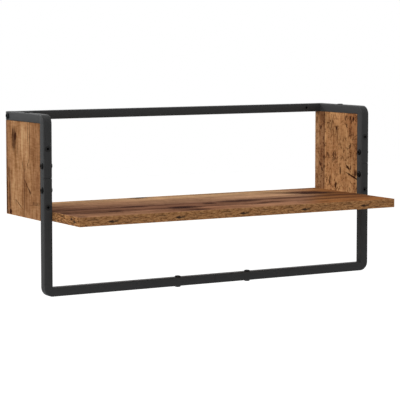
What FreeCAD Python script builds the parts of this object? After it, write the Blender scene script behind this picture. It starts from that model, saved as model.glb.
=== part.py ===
import FreeCAD, Part
import math
import os

import Sketcher

# Wall shelf with a black steel tube frame, two wooden sides, a wooden shelf and a low hanging bar.
# Millimetres. The origin is midway between the two wall screws, on the wall: +X runs to the right along
# the wall, +Y points into the wall and +Z up.

SIZES = {
    # Frame of square steel tube
    "frame_width": 650,
    "frame_depth": 150,
    "frame_height": 300,
    "tube_size": 15,
    "tube_wall": 1.2,
    "tube_outer_radius": 1.5,
    "tube_bore_radius": 0.4,
    "bend_inner_radius": 0.5,
    "seam_gap": 0.55,
    # Splices that join the tubes inside, and the rail's end nuts
    "splice_clearance": 0.2,
    "splice_wall": 2.5,
    "splice_screw_offset": 20,
    "splice_end_margin": 15,
    "bar_screw_offset": 70,
    "rail_nut_length": 20,
    "plug_flange": 1.5,
    "plug_insert": 2.5,
    # Wooden sides and shelf
    "panel_thickness": 15,
    "panel_height": 160,
    "panel_skin": 4,
    "shelf_depth": 250,
    "shelf_thickness": 15,
    "edging_thickness": 0.8,
    # Holes for the wall screws
    "wall_hole_diameter": 5,
    "wall_hole_inset": 45,
    # Button-head machine screws
    "screw_diameter": 6,
    "button_head_diameter": 10.5,
    "button_head_height": 2.2,
    "button_head_round": 1.8,
    "hex_key": 4,
    "hex_depth": 2,
    "splice_screw_tip": 1.1,
    "rail_bolt_grip": 15,
    # Countersunk screws into the sides
    "panel_screw_diameter": 5,
    "panel_screw_head": 10,
    "panel_screw_length": 40,
    "panel_screw_point": 4,
    "panel_screw_inset": 23,
    "panel_screw_clear": 13,
    "arm_screw_setback": 70,
    "arm_screw_crown": 1.2,
    "arm_screw_round": 0.9,
    # Cam fittings and dowels between the sides and the shelf
    "cam_diameter": 15,
    "cam_cover": 2.5,
    "cam_gap": 0.3,
    "cam_setback": 24,
    "cam_inset": 25,
    "cam_slot_length": 8,
    "cam_slot_width": 1.6,
    "cam_slot_depth": 2.5,
    "cam_bolt_thread": 5,
    "cam_bolt_shaft": 6,
    "cam_bolt_bore": 7,
    "cam_bolt_neck": 3.6,
    "cam_bolt_neck_length": 4,
    "cam_bolt_head": 6,
    "cam_bolt_head_length": 4,
    "dowel_diameter": 8,
    "dowel_reach": 20,
    "dowel_chamfer": 1,
    # Clearances
    "hole_clearance": 0.2,
    "thread_clearance": 0.05,
    "hole_end_gap": 0.8,
}

# Places that several pieces share, as distances from the origin
LEG_X = "(Sizes.frame_width - Sizes.tube_size) / 2"
LEG_Y = "(Sizes.frame_depth - Sizes.tube_size / 2)"
BAR_DROP = "(Sizes.frame_height - Sizes.tube_size)"
INNER_X = "(Sizes.frame_width / 2 - Sizes.tube_size)"
PANEL_DEPTH = "(Sizes.frame_depth - Sizes.tube_size)"
PANEL_DROP = "(Sizes.tube_size / 2 + Sizes.panel_height)"
SHELF_AXIS = f"({PANEL_DROP} - Sizes.shelf_thickness / 2)"
SPLICE_REACH = "(Sizes.splice_screw_offset + Sizes.splice_end_margin)"
BAR_SPLICE_REACH = "(Sizes.bar_screw_offset + Sizes.splice_end_margin)"
PANEL_SCREW_OFFSET = f"({SPLICE_REACH} + Sizes.panel_screw_clear)"
SEAM_DROP = f"({PANEL_DROP} - Sizes.panel_screw_inset - {PANEL_SCREW_OFFSET})"

# Sections and hole sizes that follow from the driving sizes
TUBE_BORE = "(Sizes.tube_size - 2 * Sizes.tube_wall)"
SPLICE_SIZE = f"({TUBE_BORE} - 2 * Sizes.splice_clearance)"
SPLICE_BORE = f"({SPLICE_SIZE} - 2 * Sizes.splice_wall)"
SCREW_HOLE = "(Sizes.screw_diameter + 2 * Sizes.hole_clearance)"
SCREW_THREAD = "(Sizes.screw_diameter + 2 * Sizes.thread_clearance)"
PANEL_SCREW_HOLE = "(Sizes.panel_screw_diameter + 2 * Sizes.hole_clearance)"
PANEL_SCREW_PILOT = "(Sizes.panel_screw_diameter + 2 * Sizes.thread_clearance)"
PANEL_SCREW_BITE = "(Sizes.panel_screw_length - Sizes.tube_size + Sizes.hole_end_gap)"
CAM_HOLE_DEPTH = "(Sizes.shelf_thickness - Sizes.cam_cover)"
DOWEL_HOLE = "(Sizes.dowel_diameter + 2 * Sizes.thread_clearance)"
BLIND_DEPTH = "(Sizes.panel_thickness - Sizes.panel_skin)"
THROUGH = "2 * Sizes.tube_size"
CAM_PLACES = ("Sizes.cam_inset", f"({PANEL_DEPTH} - Sizes.cam_inset)")
DOWEL_PLACE = f"({PANEL_DEPTH} / 2)"

LEFT = FreeCAD.Vector(-1, 0, 0)
RIGHT = FreeCAD.Vector(1, 0, 0)
FORWARD = FreeCAD.Vector(0, -1, 0)
UP = FreeCAD.Vector(0, 0, 1)
DOWN = FreeCAD.Vector(0, 0, -1)

doc = FreeCAD.newDocument("wall_shelf")
sheet = doc.addObject("Spreadsheet::Sheet", "Sizes")
for row, (alias, size) in enumerate(SIZES.items(), 1):
    sheet.set(f"A{row}", alias)
    sheet.set(f"B{row}", str(size))
    sheet.setAlias(f"B{row}", alias)
doc.recompute()


# Document helpers

def place(obj, x="0", y="0", z="0", facing=UP):
    """Put an object at three expressions, with its own Z axis turned to face a direction."""
    obj.Placement = FreeCAD.Placement(FreeCAD.Vector(), FreeCAD.Rotation(UP, facing))
    for axis, expression in zip("xyz", (x, y, z)):
        obj.setExpression(f"Placement.Base.{axis}", expression)
    return obj


def new_body(label):
    return doc.addObject("PartDesign::Body", label)


def origin_plane(body, role):
    return next(feature for feature in body.Origin.OriginFeatures if feature.Role == role)


def new_sketch(body, name, role, lift="0"):
    """A sketch on one of the body's origin planes, lifted along that plane's normal."""
    sketch = body.newObject("Sketcher::SketchObject", name)
    sketch.AttachmentSupport = [(origin_plane(body, role), "")]
    sketch.MapMode = "FlatFace"
    sketch.setExpression("AttachmentOffset.Base.z", lift)
    return sketch


def dimension(sketch, kind, points, drawn, expression):
    """Add a dimension to a sketch at the value drawn, and drive it by an expression."""
    name = f"size{sketch.ConstraintCount}"
    index = sketch.addConstraint(Sketcher.Constraint(kind, *points, drawn))
    sketch.renameConstraint(index, name)
    sketch.setExpression(f"Constraints.{name}", expression)


def locate(sketch, geometry, point, across, up):
    """Dimension a point of a sketch from the sketch's origin."""
    drawn = sketch.getPoint(geometry, point)
    dimension(sketch, "DistanceX", (-1, 1, geometry, point), drawn.x, across)
    dimension(sketch, "DistanceY", (-1, 1, geometry, point), drawn.y, up)


def draw_outline(sketch, corners):
    """A closed loop of lines through corners that are each a pair of expressions."""
    first = sketch.GeometryCount
    count = len(corners)
    rough = [FreeCAD.Vector(1 + i, i * i, 0) for i in range(count)]
    for i in range(count):
        sketch.addGeometry(Part.LineSegment(rough[i], rough[(i + 1) % count]), False)
    for i in range(count):
        sketch.addConstraint(Sketcher.Constraint("Coincident", first + i, 2, first + (i + 1) % count, 1))
    for i, (across, up) in enumerate(corners):
        locate(sketch, first + i, 1, across, up)


def draw_circles(sketch, diameter, centres):
    """Circles of one diameter at centres that are each a pair of expressions."""
    for across, up in centres:
        circle = sketch.addGeometry(Part.Circle(FreeCAD.Vector(1, 1, 0), UP, 1.0), False)
        locate(sketch, circle, 3, across, up)
        dimension(sketch, "Diameter", (circle,), 2.0, diameter)


def draw_rounded_square(sketch, side, radius):
    """A square with round corners, centred on the sketch's origin."""
    first = sketch.GeometryCount
    drawn_flat = 9.0
    drawn_radius = 1.0
    reach = drawn_flat + drawn_radius
    quarter = math.pi / 2
    for i in range(4):
        turn = FreeCAD.Rotation(UP, 90 * i)
        start = turn.multVec(FreeCAD.Vector(-drawn_flat, -reach, 0))
        end = turn.multVec(FreeCAD.Vector(drawn_flat, -reach, 0))
        centre = turn.multVec(FreeCAD.Vector(drawn_flat, -drawn_flat, 0))
        circle = Part.Circle(centre, UP, drawn_radius)
        sketch.addGeometry(Part.LineSegment(start, end), False)
        sketch.addGeometry(Part.ArcOfCircle(circle, (i - 1) * quarter, i * quarter), False)
    for i in range(4):
        line = first + 2 * i
        arc = line + 1
        following = first + (2 * i + 2) % 8
        sketch.addConstraint(Sketcher.Constraint("Tangent", line, 2, arc, 1))
        sketch.addConstraint(Sketcher.Constraint("Tangent", arc, 2, following, 1))
        sketch.addConstraint(Sketcher.Constraint("Horizontal" if i % 2 == 0 else "Vertical", line))
    for i in range(1, 4):
        sketch.addConstraint(Sketcher.Constraint("Equal", first + 1, first + 2 * i + 1))
    sketch.addConstraint(Sketcher.Constraint("Symmetric", first + 1, 3, first + 5, 3, -1, 1))
    between = f"{side} - 2 * {radius}"
    dimension(sketch, "Radius", (first + 1,), drawn_radius, radius)
    dimension(sketch, "DistanceX", (first + 5, 3, first + 1, 3), 2 * drawn_flat, between)
    dimension(sketch, "DistanceY", (first + 1, 3, first + 5, 3), 2 * drawn_flat, between)


def pad(body, sketch, length, symmetric=False, reverse=False):
    feature = body.newObject("PartDesign::Pad", f"{sketch.Name}_pad")
    feature.Profile = sketch
    feature.SideType = "Symmetric" if symmetric else "One side"
    feature.Reversed = reverse
    feature.setExpression("Length", length)
    return feature


def pocket(body, sketch, length, symmetric=False, reverse=False):
    feature = body.newObject("PartDesign::Pocket", f"{sketch.Name}_pocket")
    feature.Profile = sketch
    feature.SideType = "Symmetric" if symmetric else "One side"
    feature.Reversed = reverse
    feature.setExpression("Length", length)
    return feature


def countersunk_hole(body, sketch):
    """A screw hole through both walls of a tube, countersunk in the wall that the sketch lies on."""
    doc.recompute()
    hole = body.newObject("PartDesign::Hole", f"{sketch.Name}_hole")
    hole.Profile = sketch
    hole.ThreadType = "None"
    hole.DepthType = "Dimension"
    hole.DrillPoint = "Flat"
    hole.HoleCutType = "Countersink"
    hole.HoleCutCountersinkAngle = 90
    hole.setExpression("Diameter", PANEL_SCREW_HOLE)
    hole.setExpression("HoleCutDiameter", "Sizes.panel_screw_head + 2 * Sizes.hole_clearance")
    hole.setExpression("Depth", THROUGH)
    return hole


def revolve(body, sketch):
    feature = body.newObject("PartDesign::Revolution", f"{sketch.Name}_turned")
    feature.Profile = sketch
    feature.ReferenceAxis = (sketch, ["V_Axis"])
    feature.Angle = 360
    return feature


def round_top_edge(body, base, radius):
    """Round the outer edge of a turned head's flat top."""
    doc.recompute()
    rims = [
        (edge.BoundBox.ZMax, edge.Curve.Radius, i)
        for i, edge in enumerate(base.Shape.Edges, 1)
        if isinstance(edge.Curve, Part.Circle)
    ]
    fillet = body.newObject("PartDesign::Fillet", f"{base.Name}_round")
    fillet.Base = (base, [f"Edge{max(rims)[2]}"])
    fillet.setExpression("Radius", radius)
    return fillet


def hex_socket(body, height):
    """A hexagon socket, sunk from the top of a screw's head."""
    sketch = new_sketch(body, f"{body.Name}_socket", "XY_Plane", height)
    corner = "Sizes.hex_key / sqrt(3)"
    flat = "Sizes.hex_key / 2"
    draw_outline(sketch, [
        (corner, "0"), (f"{corner} / 2", flat), (f"-{corner} / 2", flat),
        (f"-{corner}", "0"), (f"-{corner} / 2", f"-{flat}"), (f"{corner} / 2", f"-{flat}"),
    ])
    return pocket(body, sketch, "Sizes.hex_depth")


def button_screw(label, length):
    """Button-head machine screw on Z, with the underside of its head at the origin."""
    body = new_body(label)
    sketch = new_sketch(body, f"{label}_outline", "XZ_Plane")
    head = "Sizes.button_head_diameter / 2"
    shank = "Sizes.screw_diameter / 2"
    top = "Sizes.button_head_height"
    draw_outline(sketch, [
        ("0", top), (head, top), (head, "0"), (shank, "0"), (shank, f"-({length})"), ("0", f"-({length})"),
    ])
    round_top_edge(body, revolve(body, sketch), "Sizes.button_head_round")
    hex_socket(body, top)
    return body


def panel_screw(label, crown="0"):
    """Countersunk wood screw on Z, with the flush plane of its head at the origin."""
    body = new_body(label)
    sketch = new_sketch(body, f"{label}_outline", "XZ_Plane")
    head = "Sizes.panel_screw_head / 2"
    shank = "Sizes.panel_screw_diameter / 2"
    corners = [
        (head, "0"),
        (shank, f"{shank} - {head}"),
        (shank, "Sizes.panel_screw_point - Sizes.panel_screw_length"),
        ("0", "-Sizes.panel_screw_length"),
    ]
    if crown != "0":
        corners.insert(0, (head, crown))
    draw_outline(sketch, [("0", crown)] + corners)
    turned = revolve(body, sketch)
    if crown != "0":
        round_top_edge(body, turned, "Sizes.arm_screw_round")
    hex_socket(body, crown)
    return body


def copies(label, master, places):
    """One sub-part made of separate copies of a piece; a place is x, y, z and where its Z axis faces."""
    links = []
    for i, (x, y, z, facing) in enumerate(places, 1):
        link = doc.addObject("App::Link", f"{label}_{i}")
        link.LinkedObject = master
        links.append(place(link, x, y, z, facing))
    group = doc.addObject("Part::Compound", label)
    group.Links = links
    return group


def plain_box(label, length, width, height, x, y, z):
    box = doc.addObject("Part::Box", label)
    box.setExpression("Length", length)
    box.setExpression("Width", width)
    box.setExpression("Height", height)
    return place(box, x, y, z)


# Tube frame

def draw_bend(sketch, first_runs_across, across, up):
    """A tube's centre line from the sketch's origin: a run, a quarter bend and a second run."""
    radius = 5.0
    long = 50.0
    if first_runs_across:
        corner = FreeCAD.Vector(-long, 0, 0)
        centre = corner + FreeCAD.Vector(radius, -radius, 0)
        tangents = (corner + FreeCAD.Vector(radius, 0, 0), corner + FreeCAD.Vector(0, -radius, 0))
        end = FreeCAD.Vector(-long, -long, 0)
        angles = (math.pi / 2, math.pi)
        kinds = ("Horizontal", "Vertical")
    else:
        corner = FreeCAD.Vector(0, -long, 0)
        centre = corner + FreeCAD.Vector(radius, radius, 0)
        tangents = (corner + FreeCAD.Vector(0, radius, 0), corner + FreeCAD.Vector(radius, 0, 0))
        end = FreeCAD.Vector(long, -long, 0)
        angles = (math.pi, 1.5 * math.pi)
        kinds = ("Vertical", "Horizontal")
    sketch.addGeometry(Part.LineSegment(FreeCAD.Vector(), tangents[0]), False)
    sketch.addGeometry(Part.ArcOfCircle(Part.Circle(centre, UP, radius), *angles), False)
    sketch.addGeometry(Part.LineSegment(tangents[1], end), False)
    sketch.addConstraint(Sketcher.Constraint("Coincident", 0, 1, -1, 1))
    sketch.addConstraint(Sketcher.Constraint(kinds[0], 0))
    sketch.addConstraint(Sketcher.Constraint(kinds[1], 2))
    sketch.addConstraint(Sketcher.Constraint("Tangent", 0, 2, 1, 1))
    sketch.addConstraint(Sketcher.Constraint("Tangent", 1, 2, 2, 1))
    dimension(sketch, "Radius", (1,), radius, "Sizes.tube_size / 2 + Sizes.bend_inner_radius")
    locate(sketch, 2, 2, across, up)


def bend_tube(body, spine_role, section_role, first_runs_across, across, up):
    """Sweep the tube's outside along a bent centre line, then its bore out of that."""
    spine = new_sketch(body, f"{body.Name}_spine", spine_role)
    draw_bend(spine, first_runs_across, across, up)
    outside = new_sketch(body, f"{body.Name}_outside", section_role)
    draw_rounded_square(outside, "Sizes.tube_size", "Sizes.tube_outer_radius")
    bore = new_sketch(body, f"{body.Name}_bore", section_role)
    draw_rounded_square(bore, TUBE_BORE, "Sizes.tube_bore_radius")
    doc.recompute()
    for kind, section in (("PartDesign::AdditivePipe", outside), ("PartDesign::SubtractivePipe", bore)):
        pipe = body.newObject(kind, f"{section.Name}_pipe")
        pipe.Profile = section
        pipe.Spine = spine
        doc.recompute()


def upper_frame(label):
    """Arm along the top of a side, bent down into the upper half of a leg; its origin is the arm's rear."""
    body = new_body(label)
    leg = f"-({LEG_Y} - Sizes.plug_flange)"
    seam = f"-({SEAM_DROP} - Sizes.seam_gap / 2)"
    bend_tube(body, "YZ_Plane", "XZ_Plane", True, leg, seam)
    sides = new_sketch(body, f"{label}_side_holes", "YZ_Plane")
    draw_circles(sides, SCREW_HOLE, [
        (leg, f"-({SEAM_DROP} - Sizes.splice_screw_offset)"),
        ("-(Sizes.tube_size / 2 - Sizes.plug_flange)", "0"),
    ])
    pocket(body, sides, THROUGH, symmetric=True)
    front = new_sketch(body, f"{label}_front", "XZ_Plane", "Sizes.frame_depth - Sizes.plug_flange")
    draw_circles(front, PANEL_SCREW_HOLE, [("0", f"-({SEAM_DROP} - {PANEL_SCREW_OFFSET})")])
    countersunk_hole(body, front)
    top = new_sketch(body, f"{label}_top", "XY_Plane", "Sizes.tube_size / 2")
    draw_circles(top, PANEL_SCREW_HOLE, [("0", "-(Sizes.arm_screw_setback - Sizes.plug_flange)")])
    countersunk_hole(body, top)
    return place(body, f"-{LEG_X}", "-Sizes.plug_flange")


def lower_frame(label):
    """Lower half of a leg, bent into half of the hanging bar; its origin is the top of the leg."""
    body = new_body(label)
    half_gap = "Sizes.seam_gap / 2"
    bar = f"-({BAR_DROP} - {SEAM_DROP} - {half_gap})"
    bend_tube(body, "XZ_Plane", "XY_Plane", False, f"{LEG_X} - {half_gap}", bar)
    sides = new_sketch(body, f"{label}_side_holes", "YZ_Plane")
    draw_circles(sides, SCREW_HOLE, [("0", f"-(Sizes.splice_screw_offset - {half_gap})")])
    pocket(body, sides, THROUGH, symmetric=True)
    rungs = new_sketch(body, f"{label}_bar_holes", "XY_Plane", bar)
    draw_circles(rungs, SCREW_HOLE, [(f"{LEG_X} - Sizes.bar_screw_offset", "0")])
    pocket(body, rungs, THROUGH, symmetric=True)
    front = new_sketch(body, f"{label}_front", "XZ_Plane", "Sizes.tube_size / 2")
    draw_circles(front, PANEL_SCREW_HOLE, [("0", f"-({PANEL_SCREW_OFFSET} - {half_gap})")])
    countersunk_hole(body, front)
    return place(body, f"-{LEG_X}", f"-{LEG_Y}", f"-({SEAM_DROP} + {half_gap})")


def rear_rail(label):
    """Straight tube between the arms that carries the holes for the wall screws."""
    body = new_body(label)
    section = new_sketch(body, f"{label}_section", "YZ_Plane")
    draw_rounded_square(section, "Sizes.tube_size", "Sizes.tube_outer_radius")
    draw_rounded_square(section, TUBE_BORE, "Sizes.tube_bore_radius")
    pad(body, section, f"2 * {INNER_X}", symmetric=True)
    wall_holes = new_sketch(body, f"{label}_wall_holes", "XZ_Plane")
    hole_x = "(Sizes.frame_width / 2 - Sizes.wall_hole_inset)"
    draw_circles(wall_holes, "Sizes.wall_hole_diameter", [(f"-{hole_x}", "0"), (hole_x, "0")])
    pocket(body, wall_holes, THROUGH, symmetric=True)
    return place(body, y="-Sizes.tube_size / 2")


def splice(label, section_role, hole_role, reach, holes):
    """Tapped sleeve inside two tubes that meet end to end."""
    body = new_body(label)
    section = new_sketch(body, f"{label}_section", section_role)
    draw_rounded_square(section, SPLICE_SIZE, "Sizes.tube_bore_radius")
    draw_rounded_square(section, SPLICE_BORE, "Sizes.tube_bore_radius")
    pad(body, section, f"2 * {reach}", symmetric=True)
    tapped = new_sketch(body, f"{label}_tapped", hole_role)
    draw_circles(tapped, SCREW_THREAD, holes)
    pocket(body, tapped, THROUGH, symmetric=True)
    return body


def rail_nut(label):
    """Tapped block in the end of the rear rail; its outer end is at the origin."""
    body = new_body(label)
    section = new_sketch(body, f"{label}_section", "YZ_Plane")
    draw_rounded_square(section, SPLICE_SIZE, "Sizes.tube_bore_radius")
    draw_circles(section, SCREW_THREAD, [("0", "0")])
    pad(body, section, "Sizes.rail_nut_length")
    return place(body, f"-{INNER_X}", "-Sizes.tube_size / 2")


def arm_end_plug(label):
    """Plug that closes the arm's rear end at the wall: a flange as large as the tube, and a short insert."""
    body = new_body(label)
    flange = new_sketch(body, f"{label}_flange", "XZ_Plane")
    draw_rounded_square(flange, "Sizes.tube_size", "Sizes.tube_outer_radius")
    pad(body, flange, "Sizes.plug_flange")
    insert = new_sketch(body, f"{label}_insert", "XZ_Plane", "Sizes.plug_flange")
    draw_rounded_square(insert, SPLICE_SIZE, "Sizes.tube_bore_radius")
    pad(body, insert, "Sizes.plug_insert")
    return place(body, f"-{LEG_X}")


# Wooden sides and shelf

def side_panel(label):
    """Core of a side, under the arm and behind the leg; its inner face lies in the body's YZ plane."""
    body = new_body(label)
    front = f"-{PANEL_DEPTH}"
    back = "-Sizes.edging_thickness"
    top = "-Sizes.tube_size / 2"
    bottom = f"-({PANEL_DROP} - Sizes.edging_thickness)"
    face = new_sketch(body, f"{label}_face", "YZ_Plane")
    relief = "Sizes.bend_inner_radius"
    draw_outline(face, [
        (front, bottom), (back, bottom), (back, top),
        (f"{front} + {relief}", top), (front, f"{top} - {relief}"),
    ])
    pad(body, face, "Sizes.panel_thickness", reverse=True)
    bolts = new_sketch(body, f"{label}_cam_bolts", "YZ_Plane")
    draw_circles(bolts, "Sizes.cam_bolt_thread + 2 * Sizes.thread_clearance",
                 [(f"-{y}", f"-{SHELF_AXIS}") for y in CAM_PLACES])
    pocket(body, bolts, BLIND_DEPTH)
    dowel = new_sketch(body, f"{label}_dowel", "YZ_Plane")
    draw_circles(dowel, DOWEL_HOLE, [(f"-{DOWEL_PLACE}", f"-{SHELF_AXIS}")])
    pocket(body, dowel, BLIND_DEPTH)
    leg_screws = new_sketch(body, f"{label}_leg_screws", "XZ_Plane", PANEL_DEPTH)
    draw_circles(leg_screws, PANEL_SCREW_PILOT, [
        ("-Sizes.tube_size / 2", f"-({SEAM_DROP} {sign} {PANEL_SCREW_OFFSET})") for sign in "-+"
    ])
    pocket(body, leg_screws, PANEL_SCREW_BITE)
    arm_screw = new_sketch(body, f"{label}_arm_screw", "XY_Plane", top)
    draw_circles(arm_screw, PANEL_SCREW_PILOT, [("-Sizes.tube_size / 2", "-Sizes.arm_screw_setback")])
    pocket(body, arm_screw, PANEL_SCREW_BITE)
    return place(body, f"-{INNER_X}")


def shelf_board(label):
    """Core of the shelf, with its underside in the body's XY plane and its fittings' holes at both ends."""
    body = new_body(label)
    end = f"({INNER_X} - Sizes.edging_thickness)"
    front = "-(Sizes.shelf_depth - Sizes.edging_thickness)"
    back = "-Sizes.edging_thickness"
    face = new_sketch(body, f"{label}_face", "XY_Plane")
    draw_outline(face, [(f"-{end}", front), (end, front), (end, back), (f"-{end}", back)])
    pad(body, face, "Sizes.shelf_thickness")
    cams = new_sketch(body, f"{label}_cams", "XY_Plane")
    cam_x = f"-({INNER_X} - Sizes.cam_setback)"
    draw_circles(cams, "Sizes.cam_diameter", [(cam_x, f"-{y}") for y in CAM_PLACES])
    cam_holes = pocket(body, cams, CAM_HOLE_DEPTH, reverse=True)
    half = "Sizes.shelf_thickness / 2"
    bolts = new_sketch(body, f"{label}_bolts", "YZ_Plane", cam_x)
    draw_circles(bolts, "Sizes.cam_bolt_bore", [(f"-{y}", half) for y in CAM_PLACES])
    bolt_bores = pocket(body, bolts, "Sizes.cam_setback")
    dowel_depth = "(Sizes.dowel_reach + Sizes.hole_end_gap)"
    dowel = new_sketch(body, f"{label}_dowel", "YZ_Plane", f"-({INNER_X} - {dowel_depth})")
    draw_circles(dowel, DOWEL_HOLE, [(f"-{DOWEL_PLACE}", half)])
    dowel_hole = pocket(body, dowel, dowel_depth)
    doc.recompute()
    mirrored = body.newObject("PartDesign::Mirrored", f"{label}_far_end")
    mirrored.Originals = [cam_holes, bolt_bores, dowel_hole]
    mirrored.MirrorPlane = (origin_plane(body, "YZ_Plane"), [""])
    body.Tip = mirrored
    return place(body, z=f"-{PANEL_DROP}")


def shelf_end_edging(label):
    """Edging on an end of the shelf, with holes where the cam bolts and the dowel pass."""
    body = new_body(label)
    front = "-(Sizes.shelf_depth - Sizes.edging_thickness)"
    back = "-Sizes.edging_thickness"
    top = "Sizes.shelf_thickness"
    half = f"{top} / 2"
    face = new_sketch(body, f"{label}_face", "YZ_Plane")
    draw_outline(face, [(front, "0"), (back, "0"), (back, top), (front, top)])
    draw_circles(face, "Sizes.cam_bolt_bore", [(f"-{y}", half) for y in CAM_PLACES])
    draw_circles(face, DOWEL_HOLE, [(f"-{DOWEL_PLACE}", half)])
    pad(body, face, "Sizes.edging_thickness")
    return place(body, f"-{INNER_X}", z=f"-{PANEL_DROP}")


# Fittings between the sides and the shelf

def cam_bolt(label):
    """Bolt on Z: its thread goes down into the side, and its neck and head reach up into the cam."""
    body = new_body(label)
    thread = "Sizes.cam_bolt_thread / 2"
    shaft = "Sizes.cam_bolt_shaft / 2"
    neck = "Sizes.cam_bolt_neck / 2"
    head = "Sizes.cam_bolt_head / 2"
    root = f"-({BLIND_DEPTH} - Sizes.hole_end_gap)"
    head_under = "(Sizes.cam_setback - Sizes.cam_bolt_head_length / 2)"
    head_top = "(Sizes.cam_setback + Sizes.cam_bolt_head_length / 2)"
    shaft_top = f"({head_under} - Sizes.cam_bolt_neck_length)"
    sketch = new_sketch(body, f"{label}_outline", "XZ_Plane")
    draw_outline(sketch, [
        ("0", root), (thread, root), (thread, "0"), (shaft, "0"), (shaft, shaft_top), (neck, shaft_top),
        (neck, head_under), (head, head_under), (head, head_top), ("0", head_top),
    ])
    revolve(body, sketch)
    return body


def cam_lock(label):
    """Round cam in the shelf's underside, bored from the side for the bolt's head and slotted below."""
    body = new_body(label)
    disc = new_sketch(body, f"{label}_disc", "XY_Plane")
    draw_circles(disc, "Sizes.cam_diameter - 2 * Sizes.hole_clearance", [("0", "0")])
    pad(body, disc, f"{CAM_HOLE_DEPTH} - Sizes.cam_gap")
    head_end = "Sizes.cam_bolt_head_length / 2 + Sizes.hole_clearance"
    mouth = new_sketch(body, f"{label}_mouth", "YZ_Plane", head_end)
    mouth_size = "Sizes.cam_bolt_head + 2 * Sizes.hole_clearance"
    draw_circles(mouth, mouth_size, [("0", "Sizes.shelf_thickness / 2")])
    pocket(body, mouth, "Sizes.cam_diameter")
    slot = new_sketch(body, f"{label}_slot", "XY_Plane")
    far = "Sizes.cam_slot_length / 2"
    near = "Sizes.cam_slot_width / 2"
    quarter = [(far, near), (near, near), (near, far)]
    half = quarter + [(f"-{across}", up) for across, up in reversed(quarter)]
    draw_outline(slot, half + [(across, f"-{up}") for across, up in reversed(half)])
    pocket(body, slot, "Sizes.cam_slot_depth", reverse=True)
    return body


def dowel(label):
    """Wooden dowel on Z, from inside the side to inside the shelf, with chamfered ends."""
    body = new_body(label)
    radius = "Sizes.dowel_diameter / 2"
    tip = f"({radius} - Sizes.dowel_chamfer)"
    low = f"-({BLIND_DEPTH} - Sizes.hole_end_gap)"
    high = "Sizes.dowel_reach"
    sketch = new_sketch(body, f"{label}_outline", "XZ_Plane")
    draw_outline(sketch, [
        ("0", low), (tip, low), (radius, f"{low} + Sizes.dowel_chamfer"),
        (radius, f"{high} - Sizes.dowel_chamfer"), (tip, high), ("0", high),
    ])
    revolve(body, sketch)
    return place(body, f"-{INNER_X}", f"-{DOWEL_PLACE}", f"-{SHELF_AXIS}", RIGHT)


# Pieces in the middle, which the two sides share
SCREW_GRIP = "(Sizes.tube_wall + Sizes.splice_clearance + Sizes.splice_wall + Sizes.splice_screw_tip)"
splice_screw = button_screw("splice_screw", SCREW_GRIP)
bar_splice = splice("bar_splice", "YZ_Plane", "XY_Plane", BAR_SPLICE_REACH,
                    [("-Sizes.bar_screw_offset", "0"), ("Sizes.bar_screw_offset", "0")])
place(bar_splice, y=f"-{LEG_Y}", z=f"-{BAR_DROP}")
bar_screw_places = [
    (f"{sign}Sizes.bar_screw_offset", f"-{LEG_Y}", f"-{BAR_DROP} {side} Sizes.tube_size / 2", facing)
    for sign in ("-", "")
    for side, facing in (("+", UP), ("-", DOWN))
]
middle = [
    rear_rail("rear_rail"),
    shelf_board("shelf_board"),
    plain_box("shelf_front_edging", f"2 * {INNER_X}", "Sizes.edging_thickness", "Sizes.shelf_thickness",
              f"-{INNER_X}", "-Sizes.shelf_depth", f"-{PANEL_DROP}"),
    plain_box("shelf_back_edging", f"2 * {INNER_X}", "Sizes.edging_thickness", "Sizes.shelf_thickness",
              f"-{INNER_X}", "-Sizes.edging_thickness", f"-{PANEL_DROP}"),
    bar_splice,
    copies("bar_splice_screws", splice_screw, bar_screw_places),
]

# Pieces of the left side
leg_splice = splice("left_leg_splice", "XY_Plane", "YZ_Plane", SPLICE_REACH,
                    [("0", "-Sizes.splice_screw_offset"), ("0", "Sizes.splice_screw_offset")])
place(leg_splice, f"-{LEG_X}", f"-{LEG_Y}", f"-{SEAM_DROP}")
leg_screw_places = [
    (face, f"-{LEG_Y}", f"-({SEAM_DROP} {sign} Sizes.splice_screw_offset)", facing)
    for sign in "-+"
    for face, facing in (("-Sizes.frame_width / 2", LEFT), (f"-{INNER_X}", RIGHT))
]
front_screw_places = [
    (f"-{LEG_X}", "-Sizes.frame_depth", f"-({SEAM_DROP} {sign} {PANEL_SCREW_OFFSET})", FORWARD)
    for sign in "-+"
]
cam_bolt_places = [(f"-{INNER_X}", f"-{y}", f"-{SHELF_AXIS}", RIGHT) for y in CAM_PLACES]
cam_lock_places = [(f"-({INNER_X} - Sizes.cam_setback)", f"-{y}", f"-{PANEL_DROP}", UP) for y in CAM_PLACES]
panel_x = f"-({INNER_X} + Sizes.panel_thickness)"
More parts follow.
